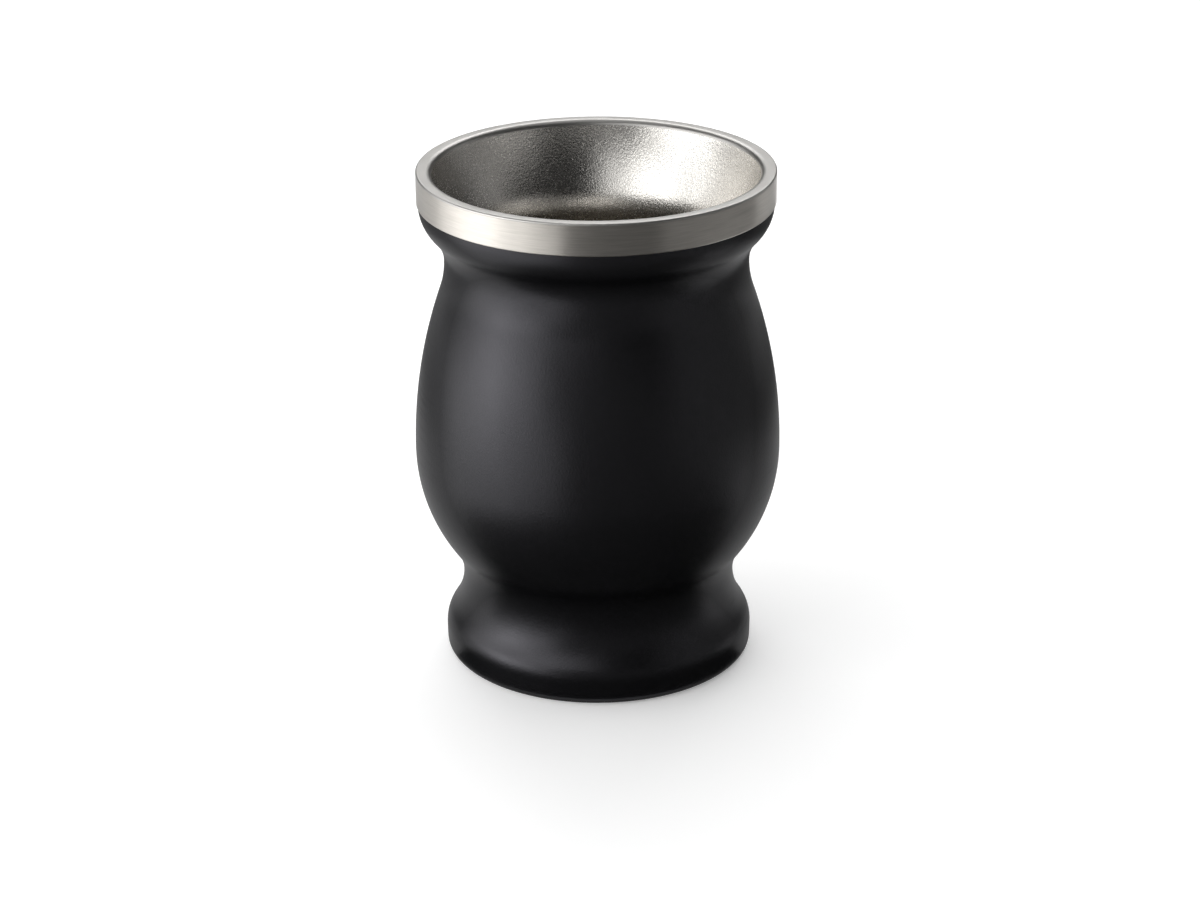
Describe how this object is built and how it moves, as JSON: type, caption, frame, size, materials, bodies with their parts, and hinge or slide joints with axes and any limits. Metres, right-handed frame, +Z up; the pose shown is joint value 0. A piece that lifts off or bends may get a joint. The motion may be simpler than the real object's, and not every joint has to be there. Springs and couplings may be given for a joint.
{
  "type": "mate cup",
  "caption": "Double-walled steel mate cup: coated gourd-shaped body with a waisted foot, full belly and narrow neck, under a bare brushed band and a broad rounded lip.",
  "frame": {"origin": "middle of the flat ring that the foot stands on", "axes": "+Z up along the cup's axis, out of its mouth; +X and +Y are any two level directions, because the cup is round"},
  "size_m": [0.0796, 0.0796, 0.1103],
  "materials": {
    "cup_steel": "stainless steel, fine blasted satin inside and on the lip",
    "coated_steel": "matte black powder coat on stainless steel, with the band at the lip left bare and brushed round",
    "pan_steel": "plain rolled stainless sheet",
    "solder_glass": "opaque dark solder glass, melted smooth",
    "getter_metal": "pressed metal powder, dull grey",
    "cover_steel": "stainless steel with a fine turned grain"
  },
  "bodies": {
    "root": {"inner_cup": "cup_steel", "outer_shell": "coated_steel", "base_pan": "pan_steel", "seal_bead": "solder_glass", "getter": "getter_metal", "base_cover": "cover_steel"}
  },
  "joints": []
}
